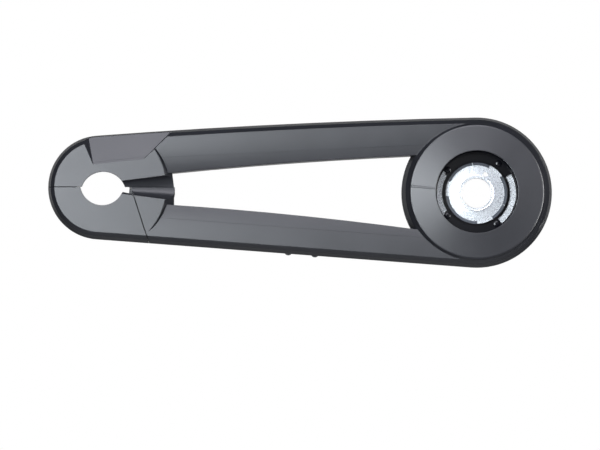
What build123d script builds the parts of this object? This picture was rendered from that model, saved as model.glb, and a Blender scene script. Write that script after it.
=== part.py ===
from build123d import *
from math import acos, atan, cos, degrees, radians, sin, sqrt, tan
import os

# A full chain case for a city bicycle. X points forward, Z up, and the outer face looks along -Y.
# The origin lies on the bottom bracket axis, where the steel plate meets the bracket shell.
# Sketches lie on planes parallel to XZ, and a height is the distance outwards from the bracket shell.

# Side view of the case
front_radius = 88.5
rear_radius = 61.2
hub_x = -442.8
hub_z = 6.0
top_edge_radius = 8300.0

# Section of the case, from its back to its face
wall = 2.0
back_height = 2.0
back_inset = 4.0
heel_height = 6.0
heel_inset = 1.2
seam_height = 16.0
shoulder_height = 29.5
shoulder_inset = 3.5
face_height = 35.0
face_inset = 8.0

# Crowned faces of the two arms
crown_inset = 13.0
crown_radius = 150.0
crown_reach = 50.0

# Open gap between the arms, where the chain stay passes through
gap_left_x = -356.0
gap_left_slant = 1.9
gap_latch_drop = 4.0
gap_latch_stand = 0.9
gap_top_z = 41.6
gap_top_slope = 0.048
gap_top_radius = 4800.0
gap_bottom_z = -39.6
gap_bottom_slope = -0.127
gap_bottom_radius = 4230.0
gap_edge_x = -104.0

# Raised front disc round the crank hole
disc_wall_gap = 0.3
disc_shoulder_height = 31.3
disc_shoulder_inset = 4.6
disc_height = 37.0
disc_face_inset = 8.5
disc_edge = 1.2
disc_rise = 4.2
crank_hole_radius = 48.5
crank_lip_depth = 4.0

# Raised rear face round the hub
rear_face_radius = 77.8
rear_face_draft = 0.7
crevice_shift = 13.6
crevice_radius = 68.5
hub_hole_upper = (-438.6, -3.2)
hub_hole_upper_radius = 26.8
hub_hole_lower = (-440.0, 10.3)
hub_hole_lower_radius = 25.9
hub_back_radius = 34.0

# Channel in which the chain stay lies
trough_z = 5.4
trough_start_x = -425.0
trough_end_x = -345.0
trough_start_radius = 6.4
trough_end_radius = 16.6
trough_groove_width = 0.5
trough_groove_depth = 0.7

# Sloped flat that clears the seat stay
panel_left = (-450.6, 32.2)
panel_right = (-391.0, 38.5)
panel_slope = 21.0
panel_left_lean = 30.0
panel_left_angle = 113.0
panel_right_angle = 44.0
panel_right_lean = 8.0

# Removable lower rear cap
cap_seam_z = 6.0
cap_corner_x = -406.3
cap_seam_lean = 17.9
cap_clearance = 0.3
slot_length = 13.0
slot_left_drop = 5.2
slot_notch = (1.0, 8.0)
slot_tip_drop = 11.9
tongue_reach = 6.0
tongue_thickness = 1.5
tongue_margin = 4.0
tongue_length = 34.0
tongue_drop = 35.0

# Bumps of the bracket socket on the lower edge
bump_x = (-221.6, -190.3)
bump_radius = 5.0
bump_stand = 1.5
bump_bottom = 5.0
bump_top = 13.0

# Steel plate clamped behind the bottom bracket cup
plate_radius = 47.5
plate_thickness = 1.5
plate_bore_radius = 17.5
pin_hole_radius = 2.75
pin_hole_reach = 24.6
pin_hole_angle = 64.4

# Carrier ring that joins the plate to the case
ring_clearance = 0.3
ring_spigot = 2.0
ring_flange_width = 4.0
ring_web_height = 4.5
ring_rim_height = 6.0
ring_rim_overlap = 0.8
ring_lip_radius = 37.5
ring_lip_width = 1.3
ring_lip_height = 7.0
ring_tab_radius = 33.0
low_tab_height = 2.6
high_tab_height = 3.4
low_tab_angles = ((98.5, 156), (-57, -24))
high_tab_angles = ((64, 97), (185, 271), (-22.5, 34))
window_outer_radius = 46.5
window_left_inner = 43.3
window_left_angles = (146, 214)
window_right_inner = 39.5
window_right_angles = (-50, 29)

# Rivets through the ring and the plate
rivet_reach = 43.5
rivet_angles = (53, 141, 218, 303)
rivet_shank_radius = 2.0
rivet_head_radius = 4.0
rivet_head_height = 1.6
rivet_clearance = 0.1

# Sizes that only have to reach past the case
beyond = 80.0

front_centre = Vector(0, 0)
hub_centre = Vector(hub_x, hub_z)
axle_distance = (hub_centre - front_centre).length
rearward = (hub_centre - front_centre).normalized()
downward = Vector(-rearward.Y, rearward.X)

# The straight lower edge touches both end circles
lean = acos((front_radius - rear_radius) / axle_distance)
bottom_out = rearward * cos(lean) + downward * sin(lean)

# The upper edge is one long arc that touches both end circles from outside
front_reach = top_edge_radius - front_radius
rear_reach = top_edge_radius - rear_radius
top_along = (front_reach ** 2 - rear_reach ** 2 + axle_distance ** 2) / (2 * axle_distance)
top_centre = rearward * top_along + downward * sqrt(front_reach ** 2 - top_along ** 2)
top_front_out = (front_centre - top_centre).normalized()
top_rear_out = (hub_centre - top_centre).normalized()


# Side outline of the case, drawn in from its edge by the inset
def belt(height, inset):
    front = front_radius - inset
    rear = rear_radius - inset
    top = top_edge_radius - inset
    front_top = top_centre + top_front_out * top
    rear_top = top_centre + top_rear_out * top
    front_bottom = front_centre + bottom_out * front
    rear_bottom = hub_centre + bottom_out * rear
    with BuildSketch(Plane.XZ.offset(height)) as outline:
        with BuildLine():
            middle = (top_front_out + top_rear_out).normalized()
            ThreePointArc(rear_top, top_centre + middle * top, front_top)
            ThreePointArc(front_top, front_centre - rearward * front, front_bottom)
            Line(front_bottom, rear_bottom)
            ThreePointArc(rear_bottom, hub_centre + rearward * rear, rear_top)
        make_face()
    return outline.sketch


# Solid between outlines at a list of heights and insets
def belt_solid(levels):
    with BuildPart() as solid:
        loft([belt(height, inset) for height, inset in levels], ruled=True)
    return solid.part


# Arc centre below an edge that passes through a point with a given slope
def edge_centre(z, slope, radius):
    tilt = atan(slope)
    return (gap_edge_x + radius * sin(tilt), z - radius * cos(tilt))


# Gap between the arms, grown by a margin, from its left side to a circle round the bracket axis
def gap_solid(margin, left_side, front_limit):
    top_circle = edge_centre(gap_top_z, gap_top_slope, gap_top_radius)
    bottom_circle = edge_centre(gap_bottom_z, gap_bottom_slope, gap_bottom_radius)
    left = left_side - margin
    latch_left = left + gap_latch_stand
    latch_bottom = cap_seam_z - 2 * gap_latch_drop
    with BuildPart() as solid:
        with BuildSketch(Plane.XZ.offset(-beyond)):
            with BuildLine():
                Polyline(
                    (0, beyond),
                    (left - gap_left_slant, beyond),
                    (left - gap_left_slant, gap_top_z / 2),
                    (left, cap_seam_z),
                    (latch_left, cap_seam_z),
                    (latch_left, latch_bottom),
                    (left, latch_bottom - gap_latch_drop),
                    (left, -beyond),
                    (0, -beyond),
                    close=True,
                )
            make_face()
            with Locations(top_circle):
                Circle(gap_top_radius + margin, mode=Mode.INTERSECT)
            with Locations(bottom_circle):
                Circle(gap_bottom_radius - margin, mode=Mode.SUBTRACT)
            Circle(front_limit - margin, mode=Mode.SUBTRACT)
        extrude(amount=2 * beyond)
    return solid.part


# Round form under the raised rear face, with its sloping wall
def rear_face_form(skin):
    depth = face_height - seam_height
    with BuildPart(Plane(origin=(hub_x, -seam_height, hub_z), z_dir=(0, -1, 0))) as form:
        Cone(
            rear_face_radius + depth * rear_face_draft - skin,
            rear_face_radius - skin,
            depth,
            align=(Align.CENTER, Align.CENTER, Align.MIN),
        )
    return form.part


# Crevice beside the raised rear face, which opens into the gap
def crevice_solid(skin):
    mouth = gap_solid(skin, hub_x + rear_face_radius - crevice_shift, front_radius)
    with BuildPart() as solid:
        with BuildSketch(Plane.XZ.offset(seam_height)):
            with Locations((hub_x + crevice_shift, hub_z)):
                Circle(crevice_radius + skin)
        extrude(amount=beyond)
        add(mouth)
        with BuildSketch(Plane.XZ.offset(seam_height)):
            with Locations(hub_centre):
                Circle(2 * rear_face_radius)
        extrude(amount=beyond, mode=Mode.INTERSECT)
    return solid.part


# What is cut off an arm to crown its face, beside the raised rear face
def crown_waste(skin):
    arms = (
        (hub_centre + top_rear_out * (rear_radius - crown_inset),
         front_centre + top_front_out * (front_radius - crown_inset)),
        (hub_centre + bottom_out * (rear_radius - crown_inset),
         front_centre + bottom_out * (front_radius - crown_inset)),
    )
    crevice = crevice_solid(skin)
    with BuildPart() as waste:
        for rear_end, front_end in arms:
            middle = (rear_end + front_end) * 0.5
            run = (front_end - rear_end).normalized()
            inward = Vector(-run.Y, run.X)
            if inward.dot(front_centre - front_end) < 0:
                inward = inward * -1
            inward_axis = Vector(inward.X, 0, inward.Y)
            section = Plane(
                origin=(middle.X, -face_height, middle.Y),
                x_dir=inward_axis,
                z_dir=inward_axis.cross(Vector(0, -1, 0)),
            )
            with BuildSketch(section):
                Rectangle(crown_reach, 2 * seam_height, align=(Align.MIN, Align.CENTER))
                with Locations((0, -crown_radius)):
                    Circle(crown_radius - skin, mode=Mode.SUBTRACT)
            extrude(amount=axle_distance, both=True)
        add(crevice)
        add(rear_face_form(skin), mode=Mode.SUBTRACT)
    return waste.part


# Frustum of the front disc
def disc_solid(skin, base_height):
    base = front_radius - disc_wall_gap - skin
    shoulder = front_radius - disc_shoulder_inset - 1.1 * skin
    edge = front_radius - disc_face_inset - 0.45 * skin
    with BuildPart() as solid:
        with BuildSketch(Plane.XY):
            with BuildLine():
                Polyline(
                    (0, -base_height),
                    (base, -base_height),
                    (shoulder, skin / 2 - disc_shoulder_height),
                    (edge + disc_edge / 2, skin - disc_height + disc_edge),
                    (edge - disc_edge, skin - disc_height - disc_edge / 4),
                    (crank_hole_radius, skin - disc_height - disc_rise),
                    (0, skin - disc_height - disc_rise),
                    close=True,
                )
            make_face()
        revolve(axis=Axis.Y)
    return solid.part


# Conical channel of the chain stay
def trough_solid(skin):
    with BuildPart(Plane(origin=(trough_start_x, -face_height, trough_z), z_dir=(1, 0, 0))) as solid:
        Cone(
            trough_start_radius + skin,
            trough_end_radius + skin,
            trough_end_x - trough_start_x,
            align=(Align.CENTER, Align.CENTER, Align.MIN),
        )
    return solid.part


# Upright or leaning plane along a line in the side view
def side_plane(point, angle, lean_angle, skin):
    run = Vector(cos(radians(angle)), 0, sin(radians(angle)))
    across = Vector(run.Z, 0, -run.X)
    normal = across * cos(radians(lean_angle)) + Vector(0, -1, 0) * sin(radians(lean_angle))
    start = Vector(point[0], -face_height, point[1]) - normal * skin
    return Plane(origin=start, x_dir=run, z_dir=normal)


# Wedge over the sloped flat
def panel_solid(skin):
    crease_angle = degrees(atan((panel_right[1] - panel_left[1]) / (panel_right[0] - panel_left[0])))
    with BuildPart() as solid:
        with BuildSketch(Plane.XZ):
            with Locations(panel_left):
                Rectangle(4 * beyond, 4 * beyond)
        extrude(amount=beyond)
        split(bisect_by=side_plane(panel_left, crease_angle + 180, 90 - panel_slope, skin), keep=Keep.TOP)
        split(bisect_by=side_plane(panel_left, panel_left_angle, panel_left_lean, skin), keep=Keep.TOP)
        split(bisect_by=side_plane(panel_right, panel_right_angle + 180, panel_right_lean, skin), keep=Keep.TOP)
    return solid.part


# Outer half of the case as a full form, drawn in by a skin
def outer_form(skin, base_height):
    body = belt_solid((
        (base_height, skin),
        (shoulder_height - skin / 2, shoulder_inset + 1.1 * skin),
        (face_height - skin, face_inset + 0.45 * skin),
    ))
    waste = crown_waste(skin)
    gap = gap_solid(skin, gap_left_x, front_radius - disc_face_inset)
    disc = disc_solid(skin, base_height)
    panel = panel_solid(skin)
    trough = trough_solid(skin)
    with BuildPart() as gap_beside_disc:
        add(gap)
        add(disc, mode=Mode.SUBTRACT)
    with BuildPart() as form:
        add(body)
        add(waste, mode=Mode.SUBTRACT)
        add(disc)
        add(gap_beside_disc.part, mode=Mode.SUBTRACT)
        add(panel, mode=Mode.SUBTRACT)
        add(trough, mode=Mode.SUBTRACT)
    return form.part


# Inner half of the case as a full form, drawn in by a skin
def inner_form(skin, top_height):
    body = belt_solid((
        (back_height + skin, back_inset + 0.45 * skin),
        (heel_height + skin / 2, heel_inset + skin),
        (top_height, skin),
    ))
    gap = gap_solid(skin, gap_left_x, front_radius)
    with BuildPart() as form:
        add(body)
        add(gap, mode=Mode.SUBTRACT)
    return form.part


# Side region of the removable cap, drawn in by a margin
def cap_region(margin):
    corner_run = (cap_seam_z + 2 * beyond) * tan(radians(cap_seam_lean))
    rear_x = hub_x - 2 * beyond
    with BuildPart() as region:
        with BuildSketch(Plane.XZ.offset(-beyond)):
            with BuildLine():
                Polyline(
                    (rear_x, cap_seam_z),
                    (cap_corner_x, cap_seam_z),
                    (cap_corner_x + corner_run, -2 * beyond),
                    (rear_x, -2 * beyond),
                    close=True,
                )
            make_face()
            if margin > 0:
                offset(amount=-margin, kind=Kind.INTERSECTION)
        extrude(amount=2 * beyond)
    return region.part


# Groove along the channel, where the upper arm laps over the lower one
def latch_groove():
    channel = trough_solid(trough_groove_depth)
    with BuildPart() as groove:
        add(channel)
        with BuildSketch(Plane.XZ):
            with Locations((cap_corner_x, cap_seam_z)):
                Rectangle(beyond, trough_groove_width, align=(Align.MIN, Align.CENTER))
        extrude(amount=beyond, mode=Mode.INTERSECT)
    return groove.part


# Lens-shaped hub hole, and the slot from it to the channel
def hub_opening():
    slot_start_x = cap_corner_x - slot_length
    notch_x, notch_drop = slot_notch
    tip_x = cap_corner_x + slot_tip_drop * tan(radians(cap_seam_lean))
    with BuildPart() as opening:
        with BuildSketch(Plane.XZ.offset(seam_height + wall)):
            with BuildLine():
                Polyline(
                    (hub_x - beyond, cap_seam_z),
                    (hub_x + beyond, cap_seam_z),
                    (hub_x + beyond, beyond),
                    (hub_x - beyond, beyond),
                    close=True,
                )
            make_face()
            with Locations(hub_hole_upper):
                Circle(hub_hole_upper_radius, mode=Mode.INTERSECT)
        extrude(amount=beyond)
        with BuildSketch(Plane.XZ.offset(seam_height + wall)):
            with BuildLine():
                Polyline(
                    (hub_x - beyond, cap_seam_z),
                    (hub_x + beyond, cap_seam_z),
                    (hub_x + beyond, -beyond),
                    (hub_x - beyond, -beyond),
                    close=True,
                )
            make_face()
            with Locations(hub_hole_lower):
                Circle(hub_hole_lower_radius, mode=Mode.INTERSECT)
        extrude(amount=beyond)
        with BuildSketch(Plane.XZ.offset(seam_height + wall)):
            with BuildLine():
                Polyline(
                    (slot_start_x, cap_seam_z),
                    (cap_corner_x, cap_seam_z),
                    (tip_x, cap_seam_z - slot_tip_drop),
                    (cap_corner_x + notch_x, cap_seam_z - notch_drop),
                    (slot_start_x, cap_seam_z - slot_left_drop),
                    close=True,
                )
            make_face()
        extrude(amount=beyond)
    return opening.part


# Round hole through the back wall
def back_hole(centre, radius):
    with BuildPart() as hole:
        with BuildSketch(Plane.XZ):
            with Locations(centre):
                Circle(radius)
        extrude(amount=seam_height)
    return hole.part


# Tongues that reach from a shell under the wall of the cap, between two heights
def cap_tongues(low, high, wall_height, hole_edge_x):
    lean_angle = radians(cap_seam_lean)
    slant_z = cap_seam_z - tongue_drop
    slant_x = cap_corner_x + tongue_drop * tan(lean_angle)
    edge_x = hub_x - rear_radius + face_inset + tongue_margin
    seam_length = hole_edge_x - tongue_margin - edge_x
    seam_middle = edge_x + seam_length / 2
    outward = Vector(cos(lean_angle), sin(lean_angle))
    carrier = outward * (tongue_reach / 2)
    base = min(low, wall_height)
    with BuildPart() as tongues:
        with BuildSketch(Plane.XZ.offset(low)):
            with Locations((slant_x, slant_z)):
                Rectangle(2 * tongue_reach, tongue_length, rotation=cap_seam_lean)
            with Locations((seam_middle, cap_seam_z)):
                Rectangle(seam_length, 2 * tongue_reach)
        extrude(amount=high - low)
        with BuildSketch(Plane.XZ.offset(base)):
            with Locations((slant_x + carrier.X, slant_z + carrier.Y)):
                Rectangle(tongue_reach, tongue_length, rotation=cap_seam_lean)
            with Locations((seam_middle, cap_seam_z + tongue_reach / 2)):
                Rectangle(seam_length, tongue_reach)
        extrude(amount=max(high, wall_height) - base)
    return tongues.part


# Bumps of the bracket socket, standing out of the lower edge
def edge_bumps():
    with BuildPart() as bumps:
        with BuildSketch(Plane.XZ.offset(bump_bottom)):
            for x in bump_x:
                edge_z = (front_radius - x * bottom_out.X) / bottom_out.Y
                with Locations((x, edge_z + bump_radius - bump_stand)):
                    Circle(bump_radius)
        extrude(amount=bump_top - bump_bottom)
    return bumps.part


# Face of a ring sector between two radii and two angles
def sector(inner, outer, angles):
    start, end = angles
    with BuildSketch() as face:
        with BuildLine():
            outer_arc = CenterArc((0, 0), outer, start, end - start)
            inner_arc = CenterArc((0, 0), inner, start, end - start)
            Line(outer_arc @ 0, inner_arc @ 0)
            Line(outer_arc @ 1, inner_arc @ 1)
        make_face()
    return face.sketch


# Sketch circles round the rivet axes
def rivet_circles(radius, angles):
    with BuildSketch() as circles:
        for angle in angles:
            with PolarLocations(rivet_reach, 1, start_angle=angle):
                Circle(radius)
    return circles.sketch


outer_body = outer_form(0, seam_height)
outer_cavity = outer_form(wall, seam_height - wall)
inner_body = inner_form(0, seam_height)
inner_cavity = inner_form(wall, seam_height + wall)
hub_front_cut = hub_opening()
hub_back_cut = back_hole((hub_x, hub_z), hub_back_radius)
spigot_radius = plate_radius + ring_clearance + ring_spigot
ring_cut = back_hole((0, 0), spigot_radius + ring_clearance)
latch_cut = latch_groove()
cap_cut = cap_region(0)
cap_keep = cap_region(cap_clearance)
face_inside = face_height - wall
back_inside = back_height + wall
outer_tongues = cap_tongues(
    face_inside - cap_clearance - tongue_thickness,
    face_inside - cap_clearance,
    face_inside + wall / 4,
    hub_hole_lower[0] - hub_hole_lower_radius,
)
inner_tongues = cap_tongues(
    back_inside + cap_clearance,
    back_inside + cap_clearance + tongue_thickness,
    back_inside - wall / 4,
    hub_x - hub_back_radius,
)
socket_bumps = edge_bumps()

# Outer moulding: face, front disc, arms and the upper part of the rear
with BuildPart() as outer_shell:
    add(outer_body)
    add(outer_cavity, mode=Mode.SUBTRACT)
    add(hub_front_cut, mode=Mode.SUBTRACT)
    add(latch_cut, mode=Mode.SUBTRACT)
    add(cap_cut, mode=Mode.SUBTRACT)
    with BuildSketch(Plane.XZ.offset(disc_height + disc_rise - wall / 2)):
        Circle(crank_hole_radius + wall)
    extrude(amount=-crank_lip_depth)
    with BuildSketch(Plane.XZ.offset(seam_height)):
        Circle(crank_hole_radius)
    extrude(amount=beyond, mode=Mode.SUBTRACT)
    add(outer_tongues)
outer_shell.part.label = "outer_shell"

# Inner moulding: back wall, with the openings for the bracket and the hub
with BuildPart() as inner_shell:
    add(inner_body)
    add(socket_bumps)
    add(inner_cavity, mode=Mode.SUBTRACT)
    add(ring_cut, mode=Mode.SUBTRACT)
    add(hub_back_cut, mode=Mode.SUBTRACT)
    add(cap_cut, mode=Mode.SUBTRACT)
    add(inner_tongues)
inner_shell.part.label = "inner_shell"

# Lower rear cap, one moulding with an outer wall, a rim and an inner wall
with BuildPart() as rear_cap:
    add(outer_body)
    add(inner_body)
    add(outer_cavity, mode=Mode.SUBTRACT)
    add(inner_cavity, mode=Mode.SUBTRACT)
    add(hub_front_cut, mode=Mode.SUBTRACT)
    add(hub_back_cut, mode=Mode.SUBTRACT)
    add(cap_keep, mode=Mode.INTERSECT)
rear_cap.part.label = "rear_cap"

# Steel plate that the bottom bracket cup clamps
with BuildPart() as bb_plate:
    with BuildSketch(Plane.XZ):
        Circle(plate_radius)
        Circle(plate_bore_radius, mode=Mode.SUBTRACT)
        with PolarLocations(pin_hole_reach, 1, start_angle=pin_hole_angle):
            Circle(pin_hole_radius, mode=Mode.SUBTRACT)
        add(rivet_circles(rivet_shank_radius + rivet_clearance, rivet_angles), mode=Mode.SUBTRACT)
    extrude(amount=plate_thickness)
bb_plate.part.label = "bb_plate"

# Carrier ring: spigot in the back wall, flange on it, web over the plate's rim
with BuildPart() as bracket_ring:
    with BuildSketch(Plane.XY):
        with BuildLine():
            Polyline(
                (spigot_radius, -plate_thickness),
                (spigot_radius, -back_inside),
                (spigot_radius + ring_clearance + ring_flange_width, -back_inside),
                (spigot_radius + ring_clearance + ring_flange_width, -ring_rim_height),
                (crank_hole_radius - ring_rim_overlap, -ring_rim_height),
                (crank_hole_radius - ring_rim_overlap, -ring_web_height),
                (ring_lip_radius, -ring_web_height),
                (ring_lip_radius, -ring_lip_height),
                (ring_lip_radius - ring_lip_width, -ring_lip_height),
                (ring_lip_radius - ring_lip_width, -plate_thickness),
                close=True,
            )
        make_face()
    revolve(axis=Axis.Y)
    for tab_height, tab_angles in ((low_tab_height, low_tab_angles), (high_tab_height, high_tab_angles)):
        with BuildSketch(Plane.XZ.offset(plate_thickness)):
            for angles in tab_angles:
                add(sector(ring_tab_radius, ring_lip_radius - ring_lip_width / 2, angles))
        extrude(amount=tab_height - plate_thickness)
    with BuildSketch(Plane.XZ):
        add(sector(window_left_inner, window_outer_radius, window_left_angles))
        add(sector(window_right_inner, window_outer_radius, window_right_angles))
        add(rivet_circles(rivet_shank_radius + rivet_clearance, rivet_angles))
    extrude(amount=beyond, mode=Mode.SUBTRACT)
bracket_ring.part.label = "bracket_ring"

pieces = [outer_shell, inner_shell, rear_cap, bb_plate, bracket_ring]

# Rivets that hold the plate to the ring, flush with the back of the plate
for number, angle in enumerate(rivet_angles, 1):
    with BuildPart() as plate_rivet:
        with BuildSketch(Plane.XZ):
            add(rivet_circles(rivet_shank_radius, [angle]))
        extrude(amount=ring_web_height)
        with BuildSketch(Plane.XZ.offset(ring_web_height)):
            add(rivet_circles(rivet_head_radius, [angle]))
        extrude(amount=rivet_head_height)
    plate_rivet.part.label = f"plate_rivet_{number}"
    pieces.append(plate_rivet)

os.makedirs("parts", exist_ok=True)
for piece in pieces:
    export_step(piece.part, f"parts/{piece.part.label}.step")
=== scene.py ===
import math

import bmesh
import bpy
from mathutils import Matrix, Vector


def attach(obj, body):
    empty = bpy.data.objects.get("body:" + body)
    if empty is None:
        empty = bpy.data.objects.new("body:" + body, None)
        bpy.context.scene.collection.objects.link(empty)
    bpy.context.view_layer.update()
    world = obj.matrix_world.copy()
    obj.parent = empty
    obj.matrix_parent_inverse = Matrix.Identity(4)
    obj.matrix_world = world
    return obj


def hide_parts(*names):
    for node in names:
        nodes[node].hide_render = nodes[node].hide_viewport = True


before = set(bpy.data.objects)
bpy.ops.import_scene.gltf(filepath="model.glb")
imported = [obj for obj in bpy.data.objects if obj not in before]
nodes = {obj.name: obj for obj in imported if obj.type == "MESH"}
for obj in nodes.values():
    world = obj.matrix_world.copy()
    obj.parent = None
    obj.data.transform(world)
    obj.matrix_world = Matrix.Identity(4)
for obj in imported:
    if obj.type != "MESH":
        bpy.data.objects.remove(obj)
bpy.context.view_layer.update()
scene = bpy.context.scene
mm = 0.001
print("frame loaded")


def linearColour(hexText):
    # the sRGB curve, straight below its toe
    parts = [int(hexText[i:i + 2], 16) / 255 for i in (1, 3, 5)]
    return (*[c / 12.92 if c <= 0.04045 else ((c + 0.055) / 1.055) ** 2.4 for c in parts], 1)


def addNode(tree, kind, settings=None, values=None, links=None):
    node = tree.nodes.new(kind)
    for name, value in (settings or {}).items():
        setattr(node, name, value)
    for name, value in (values or {}).items():
        node.inputs[name].default_value = value
    for name, socket in (links or {}).items():
        tree.links.new(socket, node.inputs[name])
    return node


def emptyTree(owner):
    owner.use_nodes = True
    owner.node_tree.nodes.clear()
    return owner.node_tree


bevelSamples = 6   # rays per point that round the edges in the shading


def glossRange(look):
    half = look["roughnessSpread"] / 2
    return {"To Min": look["roughness"] - half, "To Max": look["roughness"] + half}


def closeSkin(tree, look, depth, height, values, links):
    # rounded edges, fine relief, and the surface itself
    edge = addNode(tree, "ShaderNodeBevel", {"samples": bevelSamples}, {"Radius": look["edgeRadius"] * mm})
    relief = addNode(tree, "ShaderNodeBump", values={"Strength": 1.0, "Distance": depth * mm},
                     links={"Height": height, "Normal": edge.outputs["Normal"]})
    skin = addNode(tree, "ShaderNodeBsdfPrincipled", values=values,
                   links={**links, "Normal": relief.outputs["Normal"]})
    addNode(tree, "ShaderNodeOutputMaterial", links={"Surface": skin.outputs["BSDF"]})


plasticLook = {
    "colour": "#18191c",
    "colourMarks": "#1f2024",   # a little paler along the flow marks
    "roughness": 0.34,
    "roughnessSpread": 0.05,
    "ior": 1.5,
    "grainSize": 0.9,      # mm between the mould's pits, coarser than the real ones so that they show
    "grainDepth": 0.012,   # mm
    "grainDetail": 2.0,
    "grainRoughness": 0.6,
    "flowSize": 60.0,      # mm across the broad flow marks
    "flowDetail": 3.0,
    "flowRoughness": 0.55,
    "flowDistortion": 0.4,
    "flowLow": 0.3,        # noise values between which the gloss changes
    "flowHigh": 0.7,
    "edgeRadius": 1.0,     # mm, the moulded edge
}


def mouldedPlastic(name, look):
    # a spark-eroded mould leaves fine pits, and the melt leaves broad flow marks
    material = bpy.data.materials.new(name)
    tree = emptyTree(material)
    place = addNode(tree, "ShaderNodeTexCoord").outputs["Object"]
    grain = addNode(tree, "ShaderNodeTexNoise", links={"Vector": place}, values={
        "Scale": 1 / (look["grainSize"] * mm),
        "Detail": look["grainDetail"],
        "Roughness": look["grainRoughness"],
    })
    flow = addNode(tree, "ShaderNodeTexNoise", links={"Vector": place}, values={
        "Scale": 1 / (look["flowSize"] * mm),
        "Detail": look["flowDetail"],
        "Roughness": look["flowRoughness"],
        "Distortion": look["flowDistortion"],
    })
    tint = addNode(tree, "ShaderNodeMix", {"data_type": "RGBA"},
                   {"A": linearColour(look["colour"]), "B": linearColour(look["colourMarks"])},
                   {"Factor": flow.outputs["Fac"]})
    gloss = addNode(tree, "ShaderNodeMapRange", links={"Value": flow.outputs["Fac"]},
                    values={"From Min": look["flowLow"], "From Max": look["flowHigh"], **glossRange(look)})
    closeSkin(tree, look, look["grainDepth"], grain.outputs["Fac"], {"IOR": look["ior"], "Metallic": 0.0},
              {"Base Color": tint.outputs["Result"], "Roughness": gloss.outputs["Result"]})
    return material


zincLook = {
    "colour": "#e4e8eb",
    "colourGrain": "#b2b9be",
    "roughness": 0.28,
    "roughnessSpread": 0.05,
    "grainSize": 0.8,      # mm across the crystals, coarser than the real ones so that they show
    "cloudSize": 14.0,     # mm across the coating's soft clouds
    "cloudDetail": 4.0,
    "dimpleDepth": 0.03,   # mm, the rolled sheet's waviness
    "edgeRadius": 0.3,     # mm
}


def zincPlate(name, look):
    # zinc-plated steel: bright metal with small crystals that catch the light one by one
    material = bpy.data.materials.new(name)
    tree = emptyTree(material)
    place = addNode(tree, "ShaderNodeTexCoord").outputs["Object"]
    crystals = addNode(tree, "ShaderNodeTexVoronoi", {"feature": "F1"},
                       {"Scale": 1 / (look["grainSize"] * mm), "Randomness": 1.0}, {"Vector": place})
    cloud = addNode(tree, "ShaderNodeTexNoise", links={"Vector": place},
                    values={"Scale": 1 / (look["cloudSize"] * mm), "Detail": look["cloudDetail"]})
    shade = addNode(tree, "ShaderNodeSeparateColor", links={"Color": crystals.outputs["Color"]})
    mixed = addNode(tree, "ShaderNodeMath", {"operation": "MULTIPLY"},
                    links={0: shade.outputs["Red"], 1: cloud.outputs["Fac"]})
    tint = addNode(tree, "ShaderNodeMix", {"data_type": "RGBA"},
                   {"A": linearColour(look["colour"]), "B": linearColour(look["colourGrain"])},
                   {"Factor": mixed.outputs["Value"]})
    gloss = addNode(tree, "ShaderNodeMapRange", values=glossRange(look),
                    links={"Value": shade.outputs["Green"]})
    closeSkin(tree, look, look["dimpleDepth"], cloud.outputs["Fac"], {"Metallic": 1.0},
              {"Base Color": tint.outputs["Result"], "Roughness": gloss.outputs["Result"]})
    return material


ringLook = {
    **plasticLook,
    "colour": "#0a0b0f",
    "colourMarks": "#101116",
    "roughness": 0.14,
    "roughnessSpread": 0.04,
    "grainDepth": 0.003,   # mm
    "flowSize": 20.0,      # mm
    "edgeRadius": 0.7,     # mm
    # painted light: the tabs inside this radius get a paler grey that stands in for the plate's light
    # showing through them
    "paintedShineColour": "#4c5056",
    "paintedShineRadius": 36.1,    # mm from the bracket axis, inside which the plate's light through the thin nylon is painted in
    "specular": 0.28,      # the ring mirrors less than the case
}

caseMarks = {
    # painted shade: near-black for the shade inside the cap's joints
    "jointShadeColour": "#030303",
    "levelWidth": 1.6,     # mm across the shadow line of the level joint
    "slantWidth": 2.6,     # mm across the shadow line of the slanted joint
    "jointZ": 6.0,         # mm, the level joint
    "jointEndX": -463.0,   # mm, where the level joint meets the hub hole
    "cornerX": -406.3,     # mm, the top of the slanted joint
    "cornerZ": -5.0,       # mm, where the slanted joint comes out of the slot
    "lean": 17.9,          # degrees of the slanted joint from upright
    "weldSlope": -0.098,   # the weld line left of the crank opening
    "weldZ": -0.88,        # mm at the bracket axis
    "weldStart": -81.5,    # mm
    "weldEnd": -49.5,      # mm
    "weldWidth": 1.9,      # mm to either side
    "weldHeight": 0.22,    # mm
    "rollStart": 76.8,     # mm from the bracket axis, where the disc's face begins to roll over
    "rollEnd": 80.1,       # mm, its edge
    "rollPower": 2.0,      # how sharply it rolls
    "rollDrop": 1.3,       # mm
    "rollFront": -34.0,    # mm, Y of the plane that parts the disc from the arms
}


def skinParts(tree):
    found = {node.type: node for node in tree.nodes}
    return found["BSDF_PRINCIPLED"], found["BUMP"], found["BEVEL"]


def axisReach(tree, place):
    # distance from the bracket axis
    flat = addNode(tree, "ShaderNodeVectorMath", {"operation": "MULTIPLY"}, {1: (1, 0, 1)}, {0: place})
    reach = addNode(tree, "ShaderNodeVectorMath", {"operation": "LENGTH"}, links={0: flat.outputs["Vector"]})
    return reach.outputs["Value"]


def softLine(tree, off, width, where):
    # 1 on the line, falling softly to 0 at this width to either side
    size = addNode(tree, "ShaderNodeMath", {"operation": "ABSOLUTE"}, links={0: off.outputs["Value"]})
    line = addNode(tree, "ShaderNodeMapRange", {"interpolation_type": "SMOOTHSTEP"},
                   {"From Min": 0.0, "From Max": width * mm, "To Min": 1.0, "To Max": 0.0},
                   {"Value": size.outputs["Value"]})
    return addNode(tree, "ShaderNodeMath", {"operation": "MULTIPLY"},
                   links={0: line.outputs["Result"], 1: where.outputs["Value"]})


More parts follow.
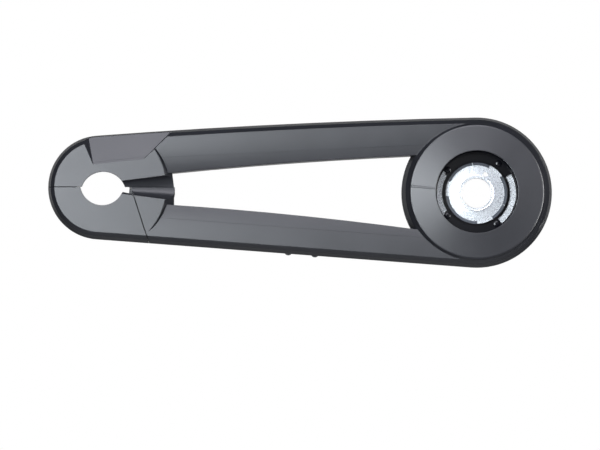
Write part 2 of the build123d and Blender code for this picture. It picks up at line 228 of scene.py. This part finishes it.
def markCase(tree, marks):
    skin, relief, edge = skinParts(tree)
    place = addNode(tree, "ShaderNodeTexCoord").outputs["Object"]
    axes = addNode(tree, "ShaderNodeSeparateXYZ", links={"Vector": place}).outputs

    # painted shade: the cap's joints are painted as fine near-black lines, wider than the real gaps, and
    # made matt, for the shade that falls into them
    lean = math.radians(marks["lean"])
    slantAt = (marks["cornerX"] * math.cos(lean) + marks["jointZ"] * math.sin(lean)) * mm
    slantAlong = addNode(tree, "ShaderNodeVectorMath", {"operation": "DOT_PRODUCT"},
                         {1: (math.cos(lean), 0, math.sin(lean))}, {0: place})
    slantOff = addNode(tree, "ShaderNodeMath", {"operation": "SUBTRACT"},
                       {1: slantAt}, {0: slantAlong.outputs["Value"]})
    underSlot = addNode(tree, "ShaderNodeMath", {"operation": "LESS_THAN"},
                        {1: marks["cornerZ"] * mm}, {0: axes["Z"]})
    levelOff = addNode(tree, "ShaderNodeMath", {"operation": "SUBTRACT"},
                       {1: marks["jointZ"] * mm}, {0: axes["Z"]})
    behindHub = addNode(tree, "ShaderNodeMath", {"operation": "LESS_THAN"},
                        {1: marks["jointEndX"] * mm}, {0: axes["X"]})
    level = softLine(tree, levelOff, marks["levelWidth"] / 2, behindHub)
    slant = softLine(tree, slantOff, marks["slantWidth"] / 2, underSlot)
    jointShade = addNode(tree, "ShaderNodeMath", {"operation": "MAXIMUM"},
                    links={0: level.outputs["Value"], 1: slant.outputs["Value"]})
    shadow = addNode(tree, "ShaderNodeMix", {"data_type": "RGBA"}, {"B": linearColour(marks["jointShadeColour"])},
                     {"Factor": jointShade.outputs["Value"], "A": skin.inputs["Base Color"].links[0].from_socket})
    matt = addNode(tree, "ShaderNodeMath", {"operation": "MAXIMUM"},
                   links={0: jointShade.outputs["Value"], 1: skin.inputs["Roughness"].links[0].from_socket})
    tree.links.new(shadow.outputs["Result"], skin.inputs["Base Color"])
    tree.links.new(matt.outputs["Value"], skin.inputs["Roughness"])

    # a low ridge where the melt met beyond the crank opening
    weldRise = addNode(tree, "ShaderNodeMath", {"operation": "MULTIPLY_ADD"},
                       {1: marks["weldSlope"], 2: marks["weldZ"] * mm}, {0: axes["X"]})
    weldOff = addNode(tree, "ShaderNodeMath", {"operation": "SUBTRACT"},
                      links={0: axes["Z"], 1: weldRise.outputs["Value"]})
    afterStart = addNode(tree, "ShaderNodeMath", {"operation": "GREATER_THAN"},
                         {1: marks["weldStart"] * mm}, {0: axes["X"]})
    beforeEnd = addNode(tree, "ShaderNodeMath", {"operation": "LESS_THAN"},
                        {1: marks["weldEnd"] * mm}, {0: axes["X"]})
    weldSpan = addNode(tree, "ShaderNodeMath", {"operation": "MULTIPLY"},
                       links={0: afterStart.outputs["Value"], 1: beforeEnd.outputs["Value"]})
    weld = softLine(tree, weldOff, marks["weldWidth"], weldSpan)
    weldBump = addNode(tree, "ShaderNodeBump",
                       values={"Strength": 1.0, "Distance": marks["weldHeight"] * mm},
                       links={"Height": weld.outputs["Value"], "Normal": edge.outputs["Normal"]})

    # the disc's face rolls over at its edge
    rollAt = addNode(tree, "ShaderNodeMapRange", links={"Value": axisReach(tree, place)},
                     values={"From Min": marks["rollStart"] * mm, "From Max": marks["rollEnd"] * mm})
    rollFall = addNode(tree, "ShaderNodeMath", {"operation": "POWER"},
                       {1: marks["rollPower"]}, {0: rollAt.outputs["Result"]})
    onDisc = addNode(tree, "ShaderNodeMath", {"operation": "LESS_THAN"},
                     {1: marks["rollFront"] * mm}, {0: axes["Y"]})
    roll = addNode(tree, "ShaderNodeMath", {"operation": "MULTIPLY"},
                   links={0: rollFall.outputs["Value"], 1: onDisc.outputs["Value"]})
    rollBump = addNode(tree, "ShaderNodeBump", {"invert": True},
                       {"Strength": 1.0, "Distance": marks["rollDrop"] * mm},
                       {"Height": roll.outputs["Value"], "Normal": weldBump.outputs["Normal"]})
    tree.links.new(rollBump.outputs["Normal"], relief.inputs["Normal"])


def paintShineOnTabs(tree, look):
    # painted light: the ring's tabs are thin, and a paler grey painted on them stands in for the bright
    # plate's light shining through
    skin = skinParts(tree)[0]
    place = addNode(tree, "ShaderNodeTexCoord").outputs["Object"]
    shineInside = addNode(tree, "ShaderNodeMath", {"operation": "LESS_THAN"},
                   {1: look["paintedShineRadius"] * mm}, {0: axisReach(tree, place)})
    paintedShine = addNode(tree, "ShaderNodeMix", {"data_type": "RGBA"}, {"B": linearColour(look["paintedShineColour"])},
                      {"Factor": shineInside.outputs["Value"], "A": skin.inputs["Base Color"].links[0].from_socket})
    tree.links.new(paintedShine.outputs["Result"], skin.inputs["Base Color"])
    skin.inputs["Specular IOR Level"].default_value = look["specular"]


# glass-filled polypropylene, injection moulded: a satin black skin with broad soft reflections
caseSkin = mouldedPlastic("mouldedPolypropylene", plasticLook)
markCase(caseSkin.node_tree, caseMarks)

# nylon from a polished mould: deeper black, with small sharp reflections that stay dim
ringSkin = mouldedPlastic("mouldedNylon", ringLook)
paintShineOnTabs(ringSkin.node_tree, ringLook)

plateSkin = zincPlate("zincPlatedSteel", zincLook)

for name in ("outer_shell", "inner_shell", "rear_cap"):
    for slot in nodes[name].material_slots:
        slot.material = caseSkin
print("materials made")


def turnedMesh(name, profile, turns, isSector=False):
    # turns pairs of radius and height, in mm, about the bracket axis: all round, or as a closed sector
    shape = bmesh.new()
    rows = []
    for turn in turns:
        rows.append([shape.verts.new((r * mm * math.cos(turn), -h * mm, r * mm * math.sin(turn)))
                     for r, h in profile])
    count = len(profile)
    for here, after in zip(rows, rows[1:] if isSector else rows[1:] + rows[:1]):
        for k in range(count):
            shape.faces.new((here[k], here[(k + 1) % count], after[(k + 1) % count], after[k]))
    if isSector:
        shape.faces.new(rows[0])
        shape.faces.new(rows[-1])
    bmesh.ops.recalc_face_normals(shape, faces=shape.faces)
    mesh = bpy.data.meshes.new(name)
    shape.to_mesh(mesh)
    shape.free()
    return mesh


def latheMesh(name, profile, steps):
    return turnedMesh(name, profile, [2 * math.pi * step / steps for step in range(steps)])


def addObject(name, data):
    thing = bpy.data.objects.new(name, data)
    scene.collection.objects.link(thing)
    return thing


def plainMesh(thing):
    # its mesh with the modifiers worked in
    return bpy.data.meshes.new_from_object(thing.evaluated_get(bpy.context.evaluated_depsgraph_get()))


def cutMesh(mesh, cutterMesh):
    blank = addObject("blank", mesh)
    cutter = addObject("cutter", cutterMesh)
    cut = blank.modifiers.new("cut", "BOOLEAN")
    cut.operation = "DIFFERENCE"
    cut.solver = "EXACT"
    cut.object = cutter
    result = plainMesh(blank)
    bpy.data.objects.remove(blank)
    bpy.data.objects.remove(cutter)
    return result


creaseAngle = 28   # degrees between faces from which an edge stays sharp


def addPiece(name, mesh, material, body, stands):
    piece = addObject(name, mesh)
    mesh.materials.clear()
    mesh.materials.append(material)
    if "custom_normal" in mesh.attributes:   # normals from before the cut
        mesh.attributes.remove(mesh.attributes["custom_normal"])
    mesh.shade_smooth()
    mesh.set_sharp_from_angle(angle=math.radians(creaseAngle))
    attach(piece, body)
    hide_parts(*stands)


plateShape = {   # mm
    "bore": 17.5,          # radius
    "rim": 47.5,           # radius
    "sheet": 1.5,          # thickness
    "dish": 0.62,          # how far the middle stands out
    "dishReach": 33.0,     # radius where the dish ends
    "beadIn": 19.6,        # radii of the pressed bead
    "beadOut": 21.8,
    "beadHeight": 0.2,
    "beadSteps": 8,
    "faceRadii": (24.0, 27.0, 30.0, 37.0, 42.0),   # more points on the turned face
    "backBevel": 0.2,
    "frontBevel": 0.3,
    "steps": 192,          # points round the axis
    "pinReach": 24.6,      # from the axis to the pin hole
    "pinAngle": 64.4,      # degrees
    "pinRadius": 2.75,
    "pinSegments": 40,
    "pinCut": 20.0,        # length of the cutter
}


def plateFace(r):
    shape = plateShape
    rise = max(0.0, (shape["dishReach"] - r) / (shape["dishReach"] - shape["bore"]))
    bead = 0.0
    if shape["beadIn"] < r < shape["beadOut"]:
        bead = math.sin(math.pi * (r - shape["beadIn"]) / (shape["beadOut"] - shape["beadIn"])) ** 2
    return shape["sheet"] + shape["dish"] * rise + shape["beadHeight"] * bead


def plateProfile(shape):
    bore, rim, back, front = shape["bore"], shape["rim"], shape["backBevel"], shape["frontBevel"]
    start, width, steps = shape["beadIn"], shape["beadOut"] - shape["beadIn"], shape["beadSteps"]
    beadRadii = [start + width * k / steps for k in range(steps + 1)]
    radii = [bore + front, *beadRadii, *sorted((*shape["faceRadii"], shape["dishReach"])), rim - front]
    inside = [(bore + back, 0), (bore, back), (bore, plateFace(bore) - front)]
    outside = [(rim, shape["sheet"] - front), (rim, back), (rim - back, 0)]
    return inside + [(r, plateFace(r)) for r in radii] + outside


def pinCutter(shape):
    angle = math.radians(shape["pinAngle"])
    centre = Vector((math.cos(angle), 0, math.sin(angle))) * shape["pinReach"] * mm
    pin = bmesh.new()
    bmesh.ops.create_cone(pin, cap_ends=True, segments=shape["pinSegments"], radius1=shape["pinRadius"] * mm,
                          radius2=shape["pinRadius"] * mm, depth=shape["pinCut"] * mm)
    bmesh.ops.rotate(pin, verts=pin.verts, matrix=Matrix.Rotation(math.pi / 2, 3, "X"))
    bmesh.ops.translate(pin, verts=pin.verts, vec=centre)
    mesh = bpy.data.meshes.new("pinHole")
    pin.to_mesh(mesh)
    pin.free()
    return mesh


plateBlank = latheMesh("plateBlank", plateProfile(plateShape), plateShape["steps"])
plateMesh = cutMesh(plateBlank, pinCutter(plateShape))
addPiece("steelPlate", plateMesh, plateSkin, "case", ["bb_plate"])
print("plate made")

windowShape = {
    "inner": 40.4,         # mm, the left window's radii
    "outer": 46.4,
    "angles": (149, 211),  # degrees round the bracket axis
    "floor": 1.4,          # mm, open down to the plate
    "top": 8.0,
    "steps": 32,           # points along the window
    "merge": 0.001,        # mm between points that become one
}


def windowCutter(shape):
    inner, outer, floor, top = shape["inner"], shape["outer"], shape["floor"], shape["top"]
    low, high = shape["angles"]
    turns = [math.radians(low + (high - low) * step / shape["steps"]) for step in range(shape["steps"] + 1)]
    corners = ((inner, floor), (outer, floor), (outer, top), (inner, top))
    return turnedMesh("leftWindow", corners, turns, isSector=True)


# the CAD node's loose triangles are joined in a copy, and its left window is cut wider inwards
ringBlank = nodes["bracket_ring"].data.copy()
joined = bmesh.new()
joined.from_mesh(ringBlank)
bmesh.ops.remove_doubles(joined, verts=joined.verts, dist=windowShape["merge"] * mm)
joined.to_mesh(ringBlank)
joined.free()
ringMesh = cutMesh(ringBlank, windowCutter(windowShape))
addPiece("carrierRing", ringMesh, ringSkin, "case", ["bracket_ring"])
print("ring made")

rivetShape = {
    "angles": (53, 141, 218, 303),   # degrees round the bracket axis
    "reach": 43.5,         # mm
    "seat": 4.5,           # mm, the ring's web
    "headRadius": 4.0,     # mm
    "headHeight": 1.6,     # mm
    "headRim": 0.5,        # mm, the upright part under the dome
    "shankRadius": 2.0,    # mm
    "axisGap": 0.02,       # mm, keeps the turned faces whole at the middle
    "domeSteps": 8,
    "steps": 48,           # round the rivet
    "seed": 4,
}


def rivetProfile(shape):
    seat, rim, gap, domeSteps = shape["seat"], shape["headRim"], shape["axisGap"], shape["domeSteps"]
    dome = []
    for k in range(domeSteps):
        bend = k / domeSteps * math.pi / 2
        height = seat + rim + (shape["headHeight"] - rim) * math.sin(bend)
        dome.append((shape["headRadius"] * math.cos(bend), height))
    shank = [(gap, 0), (shape["shankRadius"], 0), (shape["shankRadius"], seat), (shape["headRadius"], seat)]
    return shank + dome + [(gap, seat + shape["headHeight"])]


# every rivet is one head, put on its angle and given a turn of its own
rivetRow = bpy.data.node_groups.new("rivetRow", "GeometryNodeTree")
rivetInputs = {
    "Angles": "NodeSocketGeometry",
    "Reach": "NodeSocketFloat",
    "Head": "NodeSocketObject",
    "Seed": "NodeSocketInt",
    "Material": "NodeSocketMaterial",
}
sockets = {}
for label, kind in rivetInputs.items():
    sockets[label] = rivetRow.interface.new_socket(label, in_out="INPUT", socket_type=kind).identifier
rivetRow.interface.new_socket("Rivets", in_out="OUTPUT", socket_type="NodeSocketGeometry")
given = addNode(rivetRow, "NodeGroupInput").outputs
head = addNode(rivetRow, "GeometryNodeObjectInfo", links={"Object": given["Head"]})
turned = addNode(rivetRow, "FunctionNodeRandomValue", {"data_type": "FLOAT"},
                 {"Min": 0.0, "Max": 2 * math.pi}, {"Seed": given["Seed"]})
spin = addNode(rivetRow, "ShaderNodeCombineXYZ", links={"Y": turned.outputs["Value"]})
around = addNode(rivetRow, "GeometryNodeInputPosition")
outwards = addNode(rivetRow, "ShaderNodeVectorMath", {"operation": "SCALE"},
                   links={0: around.outputs["Position"], "Scale": given["Reach"]})
circle = addNode(rivetRow, "GeometryNodeSetPosition",
                 links={"Geometry": given["Angles"], "Position": outwards.outputs["Vector"]})
placed = addNode(rivetRow, "GeometryNodeInstanceOnPoints", links={
    "Points": circle.outputs["Geometry"],
    "Instance": head.outputs["Geometry"],
    "Rotation": spin.outputs["Vector"],
})
solid = addNode(rivetRow, "GeometryNodeRealizeInstances", links={"Geometry": placed.outputs["Instances"]})
painted = addNode(rivetRow, "GeometryNodeSetMaterial",
                  links={"Geometry": solid.outputs["Geometry"], "Material": given["Material"]})
addNode(rivetRow, "NodeGroupOutput", links={"Rivets": painted.outputs["Geometry"]})

rivetHead = addObject("rivetHead", latheMesh("rivetHead", rivetProfile(rivetShape), rivetShape["steps"]))
rivetAngles = [math.radians(angle) for angle in rivetShape["angles"]]
rivetPoints = bpy.data.meshes.new("rivetPoints")
rivetPoints.from_pydata([(math.cos(angle), 0, math.sin(angle)) for angle in rivetAngles], [], [])
rivetBase = addObject("rivetBase", rivetPoints)
rowModifier = rivetBase.modifiers.new("rivetRow", "NODES")
rowModifier.node_group = rivetRow
rowModifier[sockets["Reach"]] = rivetShape["reach"] * mm
rowModifier[sockets["Head"]] = rivetHead
rowModifier[sockets["Seed"]] = rivetShape["seed"]
rowModifier[sockets["Material"]] = ringSkin
rivetMesh = plainMesh(rivetBase)
bpy.data.objects.remove(rivetBase)
bpy.data.objects.remove(rivetHead)
rivetNodes = [f"plate_rivet_{number}" for number in range(1, 5)]
addPiece("plateRivets", rivetMesh, ringSkin, "case", rivetNodes)
print("rivets made")

studio = {
    "floorZ": -1.30,           # metres
    "floorSize": 16.0,         # metres
    "floorColour": "#cdcdcc",
    "floorGlow": "#a4a4a3",    # keeps the floor pale for the camera where no lamp reaches
    "worldLow": "#5c5d61",     # grey near the horizon
    "worldHigh": "#3e3f42",    # dark overhead
    "worldFade": 0.45,         # sine of the height at which the dark is full
    "backdropReach": 0.9,      # cosine of the angle over which glossy rays see the white backdrop
}

half, low = studio["floorSize"] / 2, studio["floorZ"]
floorCorners = [(-half, -half, low), (half, -half, low), (half, half, low), (-half, half, low)]
floorMesh = bpy.data.meshes.new("floor")
floorMesh.from_pydata(floorCorners, [], [(0, 1, 2, 3)])
floor = addObject("floor", floorMesh)
floorPaint = bpy.data.materials.new("floorPaint")   # matt emulsion: no reflections, only the shadow
floorTree = emptyTree(floorPaint)
paint = addNode(floorTree, "ShaderNodeBsdfDiffuse", values={"Color": linearColour(studio["floorColour"])})
eyeRay = addNode(floorTree, "ShaderNodeLightPath")
pale = addNode(floorTree, "ShaderNodeEmission", values={"Color": linearColour(studio["floorGlow"])},
               links={"Strength": eyeRay.outputs["Is Camera Ray"]})
ground = addNode(floorTree, "ShaderNodeAddShader",
                 links={0: paint.outputs["BSDF"], 1: pale.outputs["Emission"]})
addNode(floorTree, "ShaderNodeOutputMaterial", links={"Surface": ground.outputs["Shader"]})
floorMesh.materials.append(floorPaint)

# a grey room, white behind the object for the camera and for what mirrors it
world = bpy.data.worlds.new("studio")
scene.world = world
worldTree = emptyTree(world)
path = addNode(worldTree, "ShaderNodeLightPath").outputs
direction = addNode(worldTree, "ShaderNodeTexCoord").outputs["Generated"]
split = addNode(worldTree, "ShaderNodeSeparateXYZ", links={"Vector": direction}).outputs
height = addNode(worldTree, "ShaderNodeMapRange", {"interpolation_type": "SMOOTHSTEP"},
                 {"From Min": 0.0, "From Max": studio["worldFade"], "To Min": 0.0, "To Max": 1.0},
                 {"Value": split["Z"]})
room = addNode(worldTree, "ShaderNodeMix", {"data_type": "RGBA"},
               {"A": linearColour(studio["worldLow"]), "B": linearColour(studio["worldHigh"])},
               {"Factor": height.outputs["Result"]})
behind = addNode(worldTree, "ShaderNodeMath", {"operation": "GREATER_THAN"},
                 {1: studio["backdropReach"]}, {0: split["Y"]})
mirrored = addNode(worldTree, "ShaderNodeMath", {"operation": "MAXIMUM"},
                   links={0: path["Is Glossy Ray"], 1: path["Is Transmission Ray"]})
mirroredBehind = addNode(worldTree, "ShaderNodeMath", {"operation": "MULTIPLY"},
                         links={0: mirrored.outputs["Value"], 1: behind.outputs["Value"]})
white = addNode(worldTree, "ShaderNodeMath", {"operation": "MAXIMUM"},
                links={0: path["Is Camera Ray"], 1: mirroredBehind.outputs["Value"]})
seen = addNode(worldTree, "ShaderNodeMix", {"data_type": "RGBA"}, {"B": (1, 1, 1, 1)},
               {"Factor": white.outputs["Value"], "A": room.outputs["Result"]})
air = addNode(worldTree, "ShaderNodeBackground", values={"Strength": 1.0},
              links={"Color": seen.outputs["Result"]})
addNode(worldTree, "ShaderNodeOutputWorld", links={"Surface": air.outputs["Background"]})

# places and sizes in metres, spread in degrees
lamps = {
    "key": {   # the broad sheen over the rear face, the arms' left part and the disc's left side
        "place": (-1.0, -2.1, 0.17), "aim": (-0.25, 0, 0), "size": (1.0, 1.25),
        "watts": 17.2, "spread": 90, "colour": "#f3f8ff",
    },
    "fill": {   # evens out the rear face and the arms' left part
        "place": (-0.66, -2.15, -0.02), "aim": (-0.66, 0, -0.02), "size": (0.62, 0.72),
        "watts": 1.6, "spread": 180, "colour": "#ecfff4",
    },
    "side": {   # the disc's right side
        "place": (0.95, -2.1, 0.15), "aim": (0.0, 0, 0), "size": (0.9, 1.2),
        "watts": 4.2, "spread": 180, "colour": "#f5f5ff",
    },
    "edge": {   # the rim at the far right
        "place": (1.8, -1.5, 0.0), "aim": (0.0, 0, 0), "size": (0.4, 1.7),
        "watts": 16, "spread": 90, "colour": "#ffffff",
    },
    "crown": {   # the disc's top
        "place": (0.10, -2.0, 0.85), "aim": (0.0, 0, 0.05), "size": (0.5, 0.45),
        "watts": 3.2, "spread": 180, "colour": "#f5f5ff",
    },
    "shoulder": {   # the disc's top left
        "place": (-0.48, -2.1, 0.62), "aim": (-0.3, 0, 0), "size": (0.26, 0.4),
        "watts": 1.3, "spread": 180, "colour": "#f5f5ff",
    },
    "low": {   # the disc's lower part
        "place": (0.08, -2.1, -0.62), "aim": (0.0, 0, -0.05), "size": (0.7, 0.4),
        "watts": 1.3, "spread": 180, "colour": "#f5f5ff",
    },
    "well": {   # the ring and the plate, deep in the crank opening
        "place": (0.0, -2.15, 0.08), "aim": (0.0, 0, 0.08), "size": (0.12, 0.5),
        "watts": 0.17, "spread": 180, "colour": "#ffffff",
    },
    "top": {   # the sloped flat and the upper edges
        "place": (-0.35, -1.7, 1.65), "aim": (-0.3, 0, 0), "size": (1.9, 1.2),
        "watts": 12, "spread": 90, "colour": "#f5f5ff",
    },
}


def aimed(place, aim):
    return (Vector(aim) - Vector(place)).to_track_quat("-Z", "Y").to_matrix().to_4x4()


for name, lamp in lamps.items():
    panel = bpy.data.lights.new(name, "AREA")
    panel.shape = "RECTANGLE"
    panel.size, panel.size_y = lamp["size"]
    panel.energy = lamp["watts"]
    panel.spread = math.radians(lamp["spread"])
    panel.color = linearColour(lamp["colour"])[:3]
    light = addObject(name, panel)
    light.visible_camera = False
    light.matrix_world = Matrix.Translation(lamp["place"]) @ aimed(lamp["place"], lamp["aim"])

view = {
    "aim": (-0.2078, -0.037, -0.0390),
    "distance": 7.5,   # metres
    "below": 2.4,      # degrees under the face's normal
    "width": 0.7036,   # metres across the picture at the aim
    "sensor": 36.0,    # mm
    "farthest": 100,   # metres
}
camera = bpy.data.cameras.new("camera")
camera.sensor_width = view["sensor"]
camera.lens = view["sensor"] * view["distance"] / view["width"]
camera.clip_end = view["farthest"]
cameraObject = addObject("camera", camera)
below = math.radians(view["below"])
stand = Vector(view["aim"]) + Vector((0, -math.cos(below), -math.sin(below))).normalized() * view["distance"]
cameraObject.matrix_world = Matrix.Translation(stand) @ aimed(stand, view["aim"])
scene.camera = cameraObject
scene.view_settings.view_transform = "Standard"
print("studio set")
